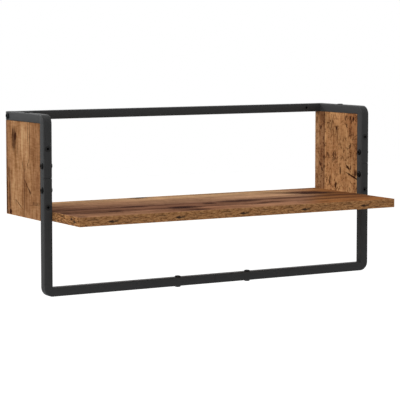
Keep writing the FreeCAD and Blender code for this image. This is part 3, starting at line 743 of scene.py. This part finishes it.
def shelf_colour(tree, place, spot, tone):
    """The bands across the shelf, with the grain's tone and the orange end."""
    waver = centred(tree, stretched_noise(tree, place, *WAVER_NOISE))
    depth = maths(tree, "MULTIPLY", spot["Y"], -1 / SHELF_DEPTH)
    bands = ramp(tree, maths(tree, "MULTIPLY_ADD", waver, BAND_WAVER, depth), SHELF_BANDS)
    flecks = centred(tree, stretched_noise(tree, place, *FLECK_NOISE))
    lift = maths(tree, "MULTIPLY_ADD", tone, TONE_CONTRAST, TONE_FLOOR)
    lift = maths(tree, "MULTIPLY_ADD", flecks, FLECK_CONTRAST, lift)
    colour = blend(tree, 1.0, bands, lift, "MULTIPLY")
    slanted = maths(tree, "MULTIPLY_ADD", spot["Y"], -ORANGE_SLANT, spot["X"])
    slanted = maths(tree, "MULTIPLY_ADD", waver, ORANGE_WAVER, slanted)
    return blend(tree, smooth_step(tree, slanted, ORANGE_FROM, ORANGE_FULL), colour, ORANGE_END, "MULTIPLY")


def shelf_board_finish():
    material, tree, shader = new_material("old_wood_shelf")
    place = grain_space(tree, "X", "Y", "Z")
    spot = axes_of(tree, place)
    grain = use_group(tree, wood_grain, {
        "Place": place, "Seed": 1.7, "Bands": 1.6, "Mottle": 0.5, "Pit Share": 0.06, "Curls": 0.2})
    colour = shelf_colour(tree, place, spot, grain["Tone"])
    upper = maths(tree, "GREATER_THAN", spot["Z"], SHELF_MIDDLE)
    shown = maths(tree, "MULTIPLY_ADD", upper, 1.0 - UNDERSIDE_MARKS, UNDERSIDE_MARKS)
    marks = marks_mask(tree, place, SHELF_MARKS, SHELF_FEATHER, SHELF_RAGGEDNESS)
    marks = maths(tree, "MULTIPLY", marks, shown)
    # Patches in the wood, with painted shadow and shade where the sides meet the board.
    stains_and_shade = marks_mask(tree, place, SHELF_STAINS_AND_SHADE, STAIN_AND_SHADE_FEATHER, STAIN_AND_SHADE_RAGGEDNESS)
    finish_board(tree, shader, grain, colour, stains_and_shade, marks, PURPLE_STAIN_AND_SHADE, CRACK_COLOUR)
    return material


shelf_board_wood = shelf_board_finish()
print("shelf board:", len(shelf_board_wood.node_tree.nodes), "nodes")

# %% [markdown]
# A thin strip covers each cut edge of the boards. On the real shelf it is an orange-brown strip with a
# rough sawn look: short wavy dark dashes, arrises rubbed pale, and a deeper burn mark that comes back
# every 124 mm, because the strip is cut from a long roll. The sawn look is a group that all strips share.
# It takes the place along and across the strip, the mask of the burns, and how much lighter the strip is
# than usual.

# %% Sawn strip group
BOARD_HALF = (shelf_high.z - shelf_low.z) / 2
ARRIS_WIDTH = 1.8 * MM
# Noise given as for the grain. The first one has a roughness of its own as well.
ROUGH_NOISE = (130.0, 420.0, 4.0, 0.66)
FINE_NOISE = (300.0, 1100.0, 2.0)
ROUGH_CONTRAST = 2.4
FINE_CONTRAST = 0.6
RUBBED_FROM = 0.4
RUBBED_FULL = 0.65
BURN_DULLNESS = 0.15
BURN_COLOUR = paint(46, 37, 32)
WORN_COLOUR = paint(176, 132, 90)
EDGE_TONES = [
    (0.2, paint(88, 60, 39)),
    (0.42, paint(126, 87, 55)),
    (0.56, paint(146, 103, 65)),
    (0.8, paint(170, 125, 83)),
]


def sawn_strip_group():
    tree, given, result = new_group(
        "sawn_strip",
        {"Strip": "Vector", "Burn": "Float", "Lift": "Float"},
        {"Colour": "Color", "Height": "Float", "Roughness": "Float"})
    strip = given["Strip"]
    rough = stretched_noise(tree, strip, *ROUGH_NOISE)
    fine = stretched_noise(tree, strip, *FINE_NOISE)
    tone = maths(tree, "ADD", given["Lift"], MIDDLE_TONE)
    tone = maths(tree, "MULTIPLY_ADD", centred(tree, rough), ROUGH_CONTRAST, tone)
    tone = maths(tree, "MULTIPLY_ADD", centred(tree, fine), FINE_CONTRAST, tone)
    from_middle = maths(tree, "ABSOLUTE", axes_of(tree, strip)["Y"])
    arris = smooth_step(tree, from_middle, BOARD_HALF - ARRIS_WIDTH, BOARD_HALF)
    rubbed = maths(tree, "MULTIPLY", arris, smooth_step(tree, rough, RUBBED_FROM, RUBBED_FULL))
    colour = blend(tree, rubbed, ramp(tree, tone, EDGE_TONES), WORN_COLOUR)
    dull = maths(tree, "SUBTRACT", given["Burn"], rubbed)
    fill(tree, result, {
        "Colour": blend(tree, given["Burn"], colour, BURN_COLOUR),
        "Height": maths(tree, "SUBTRACT", rough, given["Burn"]),
        "Roughness": maths(tree, "MULTIPLY_ADD", dull, BURN_DULLNESS, WOOD_ROUGHNESS),
    })
    return tree


sawn_strip = sawn_strip_group()
print("sawn strip group:", len(sawn_strip.nodes), "nodes")

# %% [markdown]
# Each strip runs along another axis of the model, so a material lays its own axes into the group. The
# pattern is made once along one repeat of the roll, and the distance along the edge is folded into it.

# %% Edging
REPEAT = 124 * MM
FRONT_BURN = -2 * MM
END_BURN = -220 * MM
LONG_EDGE_LIFT = 0.08
BURN_MARKS = [
    (-2, -1.6, 12, 4.2, 0, 0.9),
    (5, -1.1, 10, 3.4, 0, 0.8),
    (-34, 3, 22, 2.6, 0, 0.45),
    (38, 2, 24, 2.4, 0, 0.4),
    (22, -4, 20, 2.2, 0, 0.35),
]
END_MARKS = [
    (0, 3, 9, 4.2, 0, 0.9),
    (-11, -1, 9, 5, 0, 0.85),
    (33, 4, 10, 3.6, 0, 0.75),
]


def edging_finish(name, axes, middle, first_burn=FRONT_BURN, marks=BURN_MARKS, lift=0.0):
    """A strip's material. Axes names the model's axes along the strip, across it and through it."""
    material, tree, shader = new_material(name)
    spot = axes_of(tree, grain_space(tree, *axes))
    from_burn = maths(tree, "SUBTRACT", spot["X"], first_burn)
    folded = maths(tree, "WRAP", from_burn, REPEAT / 2, -REPEAT / 2)
    level = maths(tree, "SUBTRACT", spot["Y"], middle)
    strip = from_axes(tree, X=folded, Y=level, Z=spot["Z"])
    burn = marks_mask(tree, strip, marks)
    wear_surface(tree, shader, use_group(tree, sawn_strip, {"Strip": strip, "Burn": burn, "Lift": lift}))
    return material


PANEL_MIDDLE = sum(corner.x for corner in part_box("left_side_panel")) / 2
long_edging = edging_finish("old_wood_edging_long", "XZY", SHELF_MIDDLE, lift=LONG_EDGE_LIFT)
end_edging = edging_finish("old_wood_edging_end", "YZX", SHELF_MIDDLE, END_BURN, END_MARKS)
left_bottom_edging = edging_finish("old_wood_edging_left_bottom", "YXZ", PANEL_MIDDLE)
right_bottom_edging = edging_finish("old_wood_edging_right_bottom", "YXZ", -PANEL_MIDDLE)
left_back_edging = edging_finish("old_wood_edging_left_back", "ZXY", PANEL_MIDDLE)
right_back_edging = edging_finish("old_wood_edging_right_back", "ZXY", -PANEL_MIDDLE)
print("edging:", len(long_edging.node_tree.nodes), "nodes in the long strips' material")

# %% [markdown]
# The frame is steel tube under a matt black powder coat. Powder melts into a skin with a very fine
# orange-peel texture, and it never is a pure black: most of what is seen is the room's light on a dull
# gloss. So the base colour is very dark, and roughness and a fine bump do the rest. The screws and the
# plugs share the effect with other values, so it is a group.

# %% Powder coat group
COAT_PATCHES = 30.0
COAT_DETAIL = 2.0


def plain_noise(tree, place, scale, detail):
    return add(tree, "TexNoise", {"Vector": place, "Scale": scale, "Detail": detail}).outputs["Fac"]


def orange_peel_group():
    tree, given, result = new_group(
        "orange_peel", numbers("Size", "Dull", "Spread"), numbers("Height", "Roughness"))
    place = object_place(tree)
    scale = maths(tree, "DIVIDE", 1.0, given["Size"])
    patches = centred(tree, plain_noise(tree, place, COAT_PATCHES, COAT_DETAIL))
    fill(tree, result, {
        "Height": plain_noise(tree, place, scale, COAT_DETAIL),
        "Roughness": maths(tree, "MULTIPLY_ADD", patches, given["Spread"], given["Dull"]),
    })
    return tree


orange_peel = orange_peel_group()
print("orange peel group:", len(orange_peel.nodes), "nodes")

# %% [markdown]
# The walls of a rolled square tube are never quite flat: they stand a little proud along the middle. The
# eye sees it as light that fades across the wall. A mesh could carry it, but half a millimetre is easier
# as a bump: the height falls with the square of the distance from the tube's centre line, and stops at
# the tube's edge. Where all of these falls are complete there is an edge, so the same sum also says where
# hands have rubbed the coat, and where its colour is made lighter as a painted highlight along the edges.

# %% Tube crown group
rail_low, rail_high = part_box("rear_rail")
TUBE_HALF = (rail_high.z - rail_low.z) / 2
ARM_Z = (rail_high.z + rail_low.z) / 2
BAR_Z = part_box("lower_left_frame")[0].z + TUBE_HALF
LEG_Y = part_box("upper_left_frame")[0].y + TUBE_HALF
LEG_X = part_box("upper_right_frame")[1].x - TUBE_HALF
RAIL_Y = (rail_high.y + rail_low.y) / 2
TUBE_CROWN = 0.45 * MM
EDGE_FROM = 0.35
EDGE_FULL = 0.05
EDGE_PATCHES = 40.0
EDGE_DETAIL = 3.0


def crown_fall(tree, axis, centre):
    """0 on a tube's centre line, 1 at its edge and past it."""
    aside = maths(tree, "DIVIDE", maths(tree, "SUBTRACT", axis, centre), TUBE_HALF)
    return maths(tree, "MINIMUM", maths(tree, "MULTIPLY", aside, aside), 1.0)


def tube_crown_group():
    tree, _, result = new_group("tube_crown", {}, numbers("Height", "Edge"))
    place = object_place(tree)
    spot = axes_of(tree, place)
    sideways = maths(tree, "ABSOLUTE", spot["X"])
    past_rail = maths(tree, "GREATER_THAN", sideways, LEG_X - TUBE_HALF)
    falls = [
        crown_fall(tree, sideways, LEG_X),
        crown_fall(tree, spot["Y"], LEG_Y),
        crown_fall(tree, spot["Z"], ARM_Z),
        crown_fall(tree, spot["Z"], BAR_Z),
        maths(tree, "MAXIMUM", crown_fall(tree, spot["Y"], RAIL_Y), past_rail),
    ]
    total = 0.0
    for fall in falls:
        total = maths(tree, "ADD", total, fall)
    edge = smooth_step(tree, total, len(falls) - EDGE_FROM, len(falls) - EDGE_FULL)
    # Patches along the edges where they are lighter: rubbed coat and a painted highlight.
    patches = plain_noise(tree, place, EDGE_PATCHES, EDGE_DETAIL)
    fill(tree, result, {
        "Height": maths(tree, "MULTIPLY", total, -1.0),
        "Edge": maths(tree, "MULTIPLY", edge, smooth_step(tree, patches, RUBBED_FROM, RUBBED_FULL)),
    })
    return tree


tube_crown = tube_crown_group()
print("tube crown group:", len(tube_crown.nodes), "nodes")

# %% [markdown]
# With both groups a coat is one short function: a colour, how dull and how glossy it is, and how coarse
# and deep its skin is. Only the frame's tubes take the crown and the rubbed edges. The edges' lighter
# colour is partly wear and partly a painted highlight.

# %% Coats
FRAME_COAT = (0.038, 0.0385, 0.039, 1.0)
# Lighter colour at the edges: partly coat rubbed by hands, partly a painted highlight.
RUBBED_AND_HIGHLIGHT_COAT = (0.058, 0.0585, 0.059, 1.0)
RUBBED_POLISH = 0.12
COAT_SPREAD = 0.12
PEEL_BUMP = 0.35
CROWN_BUMP = 1.0


def coated(name, colour, dull, gloss, skin, relief, crown=0.0):
    """A coat's material. Skin is how wide the bumps of its texture are, and relief how deep."""
    material, tree, shader = new_material(name)
    peel = use_group(tree, orange_peel, {"Size": skin, "Dull": dull, "Spread": COAT_SPREAD})
    bump = add(tree, "Bump", {"Height": peel["Height"], "Strength": PEEL_BUMP, "Distance": relief})
    roughness = peel["Roughness"]
    if crown:
        tube = use_group(tree, tube_crown, {})
        rounded = add(tree, "Bump", {"Height": tube["Height"], "Strength": CROWN_BUMP, "Distance": crown})
        fill(tree, bump, {"Normal": rounded.outputs["Normal"]})
        # Lighter edges: partly rubbed coat, partly a painted highlight.
        colour = blend(tree, tube["Edge"], colour, RUBBED_AND_HIGHLIGHT_COAT)
        roughness = maths(tree, "MULTIPLY_ADD", tube["Edge"], -RUBBED_POLISH, roughness)
    fill(tree, shader, {
        "Base Color": colour,
        "Roughness": roughness,
        "Normal": bump.outputs["Normal"],
        "Specular IOR Level": gloss,
    })
    return material


frame_black = coated(
    "frame_black", FRAME_COAT, dull=0.45, gloss=0.08, skin=0.9 * MM, relief=0.05 * MM, crown=TUBE_CROWN)
screw_black = coated("screw_black", grey(0.003), dull=0.36, gloss=0.08, skin=0.5 * MM, relief=0.02 * MM)
plug_plastic = coated("plug_plastic", grey(0.01), dull=0.55, gloss=0.4, skin=0.7 * MM, relief=0.04 * MM)
splice_steel = coated("splice_steel", grey(0.01), dull=0.6, gloss=0.3, skin=0.4 * MM, relief=0.03 * MM)
print("powder coat:", len(frame_black.node_tree.nodes), "nodes in the frame's material")

# %% [markdown]
# The flush screws in the legs are black like the frame, and their sockets are deep and narrow. Hardly any
# light comes out of such a hole, so the colour runs to black a little way below the head.

# %% Flush screws
SOCKET_RIM = 0.2 * MM
SOCKET_DARK = 0.7 * MM
HEAD_BLACK = grey(0.02)
SOCKET_BLACK = grey(0.0)
HEAD_ROUGHNESS = 0.5
SOCKET_DULLNESS = 0.5
HEAD_GLOSS = 0.1


def flush_screw_finish():
    material, tree, shader = new_material("flush_screw_black")
    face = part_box("left_panel_front_screws")[0].y
    depth = axes_of(tree, object_place(tree))["Y"]
    sunk = smooth_step(tree, depth, face + SOCKET_RIM, face + SOCKET_DARK)
    fill(tree, shader, {
        "Base Color": blend(tree, sunk, HEAD_BLACK, SOCKET_BLACK),
        "Roughness": maths(tree, "MULTIPLY_ADD", sunk, SOCKET_DULLNESS, HEAD_ROUGHNESS),
        "Specular IOR Level": HEAD_GLOSS,
    })
    return material


flush_screw = flush_screw_finish()
print("flush screws:", len(flush_screw.node_tree.nodes), "nodes")

# %% [markdown]
# The cam bolts and cam locks that hold the boards are zinc-plated, and the dowels are plain beech. Only
# the cam locks show, in the shelf's underside, yet each gets a true finish, because a part in a library
# may be taken apart.

# %% Zinc and beech
SPANGLES = 900.0
SPANGLE_SHADE = 0.8
SPANGLE_DULLNESS = 0.18
SPANGLE_BUMP = 0.2
SPANGLE_RELIEF = 0.02 * MM
BEECH_TONES = [
    (0.25, paint(186, 146, 104)),
    (0.75, paint(222, 188, 146)),
]
BEECH_ROUGHNESS = 0.5
BEECH_DULLNESS = 0.2
BEECH_BUMP = 0.3
BEECH_RELIEF = 0.1 * MM


def zinc(name, colour, roughness):
    material, tree, shader = new_material(name)
    spangle = add(tree, "TexVoronoi", {"Vector": object_place(tree), "Scale": SPANGLES})
    shine = add(tree, "SeparateColor", {"Color": spangle.outputs["Color"]}).outputs["Red"]
    shaded = tuple(level * SPANGLE_SHADE for level in colour[:3]) + (1.0,)
    bump = add(tree, "Bump", {"Height": shine, "Strength": SPANGLE_BUMP, "Distance": SPANGLE_RELIEF})
    fill(tree, shader, {
        "Base Color": blend(tree, shine, shaded, colour),
        "Roughness": maths(tree, "MULTIPLY_ADD", shine, SPANGLE_DULLNESS, roughness),
        "Normal": bump.outputs["Normal"],
        "Metallic": 1.0,
    })
    return material


def beech():
    material, tree, shader = new_material("dowel_wood")
    place = grain_space(tree, "X", "Y", "Z")
    grain = use_group(tree, wood_grain, {
        "Place": place, "Seed": 11.0, "Bands": 0.5, "Mottle": 0.2, "Pit Share": 0.0, "Curls": 0.0})
    bump = add(tree, "Bump", {"Height": grain["Streaks"], "Strength": BEECH_BUMP, "Distance": BEECH_RELIEF})
    fill(tree, shader, {
        "Base Color": ramp(tree, grain["Tone"], BEECH_TONES),
        "Roughness": maths(tree, "MULTIPLY_ADD", grain["Streaks"], BEECH_DULLNESS, BEECH_ROUGHNESS),
        "Normal": bump.outputs["Normal"],
    })
    return material


bolt_zinc = zinc("bolt_zinc", (0.55, 0.55, 0.56, 1.0), 0.28)
cam_zinc = zinc("cam_zinc", (0.62, 0.62, 0.63, 1.0), 0.34)
dowel_wood = beech()
print("zinc and beech ready")

# %% [markdown]
# Each piece of the frame already has its shape, so it keeps its mesh and only its material slots change.
# The names of the pieces say what they are, so a short list of name endings is enough. The first that
# fits counts.

# %% Put the finishes on the pieces
FINISHES = [
    (frame_black, ("_frame", "rear_rail")),
    (splice_steel, ("_splice", "_rail_nut")),
    (flush_screw, ("_front_screws",)),
    (screw_black, ("_screws", "_top_screw", "_rail_bolt")),
    (plug_plastic, ("_end_plug",)),
    (bolt_zinc, ("_cam_bolts",)),
    (cam_zinc, ("_cam_locks",)),
    (dowel_wood, ("_dowel",)),
    (left_panel_wood, ("left_side_panel",)),
    (right_panel_wood, ("right_side_panel",)),
    (shelf_board_wood, ("shelf_board",)),
    (long_edging, ("shelf_front_edging", "shelf_back_edging")),
    (end_edging, ("shelf_left_edging", "shelf_right_edging")),
    (left_bottom_edging, ("left_panel_bottom_edging",)),
    (right_bottom_edging, ("right_panel_bottom_edging",)),
    (left_back_edging, ("left_panel_back_edging",)),
    (right_back_edging, ("right_panel_back_edging",)),
]
for name, piece in nodes.items():
    finish = next(material for material, endings in FINISHES if name.endswith(endings))
    for slot in piece.material_slots:
        slot.material = finish
print("finishes on", len(nodes), "pieces")

# %% [markdown]
# The shelf hangs on a wall, so the floor lies well below it and the white studio goes on behind. The
# floor is pale and takes the shadow. A glow that only the camera sees brings it up to the white of the
# studio, and from below it is clear, so that it never hides the object.

# %% Floor
FLOOR_DROP = 0.9
FLOOR_REACH = 11.0
FLOOR_GREY = grey(0.86)
FLOOR_ROUGHNESS = 0.9
FLOOR_GLOW = 0.72
WHITE = grey(1.0)


def floor_finish():
    material, tree, shader = new_material("pale_floor")
    seen = add(tree, "LightPath").outputs["Is Camera Ray"]
    fill(tree, shader, {
        "Base Color": FLOOR_GREY,
        "Roughness": FLOOR_ROUGHNESS,
        "Emission Color": WHITE,
        "Emission Strength": maths(tree, "MULTIPLY", seen, FLOOR_GLOW),
    })
    clear = add(tree, "BsdfTransparent")
    below = add(tree, "NewGeometry").outputs["Backfacing"]
    mixed = add(tree, "MixShader", {0: below, 1: shader.outputs["BSDF"], 2: clear.outputs["BSDF"]})
    fill(tree, tree.nodes["Material Output"], {"Surface": mixed.outputs["Shader"]})
    return material


def make_floor(level):
    mesh = bpy.data.meshes.new("studio_floor")
    shape = bmesh.new()
    place = Matrix.Translation((0, 0, level))
    bmesh.ops.create_grid(shape, x_segments=1, y_segments=1, size=FLOOR_REACH, matrix=place)
    shape.to_mesh(mesh)
    shape.free()
    mesh.materials.append(floor_finish())
    floor = bpy.data.objects.new("studio_floor", mesh)
    scene.collection.objects.link(floor)
    return floor


make_floor(cad_low.z - FLOOR_DROP)
print("floor at", round(cad_low.z - FLOOR_DROP, 3))

# %% [markdown]
# The camera sees a plain white world, while the world's share of the light on the object is a softer
# grey. Reflections see the white too, fading to the grey towards the front, where a real studio is dark.

# %% World
AMBIENT = 0.34
MIRROR_FROM = -0.9
MIRROR_FULL = 0.4


def make_world():
    world = bpy.data.worlds.new("white_studio")
    world.use_nodes = True
    scene.world = world
    tree = world.node_tree
    path = add(tree, "LightPath").outputs
    towards = axes_of(tree, add(tree, "TexCoord").outputs["Generated"])["Y"]
    behind = smooth_step(tree, towards, MIRROR_FROM, MIRROR_FULL)
    mirrored = maths(tree, "MULTIPLY", path["Is Glossy Ray"], behind)
    shown = maths(tree, "MAXIMUM", path["Is Camera Ray"], path["Is Transmission Ray"])
    shown = maths(tree, "MAXIMUM", shown, mirrored)
    strength = maths(tree, "MULTIPLY_ADD", shown, 1.0 - AMBIENT, AMBIENT)
    fill(tree, tree.nodes["Background"], {"Color": WHITE, "Strength": strength})


make_world()
print("world:", scene.world.name)

# %% [markdown]
# Four soft boxes light the shelf: a large key from the left and the front, a smaller one from the left
# and behind that skims over the faces turned to the left, a weaker one from above, and a weak fill from
# the right. A lamp's power spreads with the square of the distance, so each lamp is given by the
# brightness that it adds on a surface that faces it, and its power is worked out from that.

# %% Lamps
SCENE_CENTRE = (cad_low + cad_high) / 2


def softbox(name, place, width, height, brightness):
    aim = SCENE_CENTRE - Vector(place)
    lamp = bpy.data.lights.new(name, "AREA")
    lamp.shape = "RECTANGLE"
    lamp.size = width
    lamp.size_y = height
    lamp.energy = brightness * math.pi ** 2 * aim.length_squared
    holder = bpy.data.objects.new(name, lamp)
    holder.location = place
    holder.rotation_euler = aim.to_track_quat("-Z", "Y").to_euler()
    scene.collection.objects.link(holder)
    print(name, "has", round(lamp.energy, 1), "watts")


softbox("key_left", (-6.0, -3.0, 2.9), width=4.4, height=4.4, brightness=0.43)
softbox("rim_left", (-1.5, 1.5, 1.1), width=1.0, height=0.7, brightness=0.6)
softbox("top", (0.3, -0.7, 2.8), width=2.4, height=2.4, brightness=0.3)
softbox("fill_right", (2.6, -2.6, 0.9), width=1.6, height=1.6, brightness=0.12)

# %% [markdown]
# The photograph was taken from the front left with a long lens, a little above the shelf, and its
# uprights are nearly parallel. A slightly tilted camera with a small vertical shift gives the same view
# and still keeps the object in the frame from other sides.

# %% Camera
CAMERA_PLACE = (-1.5295, -2.7119, 0.1478)
CAMERA_TURN = 30.341
CAMERA_TILT = 4.602
CAMERA_LENS = 156.09
CAMERA_SHIFT = -0.08
SENSOR_WIDTH = 36.0

lens = bpy.data.cameras.new("photo_view")
lens.sensor_width = SENSOR_WIDTH
lens.lens = CAMERA_LENS
lens.shift_y = CAMERA_SHIFT
camera = bpy.data.objects.new("photo_view", lens)
camera.location = CAMERA_PLACE
camera.rotation_euler = (math.radians(90 - CAMERA_TILT), 0.0, math.radians(-CAMERA_TURN))
scene.collection.objects.link(camera)
scene.camera = camera
scene.view_settings.view_transform = "Standard"
print("camera at", CAMERA_PLACE)
